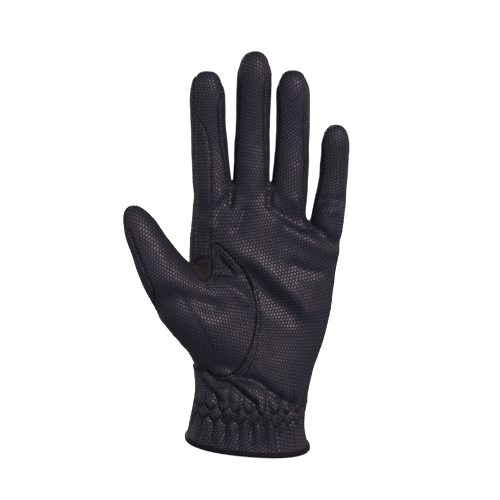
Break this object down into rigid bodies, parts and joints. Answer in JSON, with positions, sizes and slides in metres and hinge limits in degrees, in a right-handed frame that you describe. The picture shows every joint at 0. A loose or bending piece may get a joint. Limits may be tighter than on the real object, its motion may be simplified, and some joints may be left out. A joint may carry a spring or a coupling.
{
  "type": "riding glove",
  "caption": "Left riding glove of embossed synthetic leather, filled out and upright, with set-in thumb, side strips between the fingers, gathered wrist and bound hem.",
  "frame": {"origin": "centre of the cuff's mouth, where the wrist goes in", "axes": "+Z from the wrist along the fingers, -Y out of the palm, -X towards the thumb"},
  "size_m": [0.1302, 0.0516, 0.2347],
  "materials": {
    "embossed_leather": "dark navy synthetic leather embossed all over with small round cells",
    "ribbed_knit": "brownish stretch knit with fine cross ribs",
    "binding": "folded dark binding with a soft edge",
    "thread": "dark sewing thread"
  },
  "bodies": {
    "root": {"palm_panel": "embossed_leather", "thumb_panel": "embossed_leather", "index_side_panel": "embossed_leather", "back_panel": "embossed_leather", "fourchette_index_middle": "embossed_leather", "fourchette_middle_ring": "embossed_leather", "fourchette_ring_little": "embossed_leather", "quirk": "ribbed_knit", "hem_binding": "binding"}
  },
  "joints": []
}
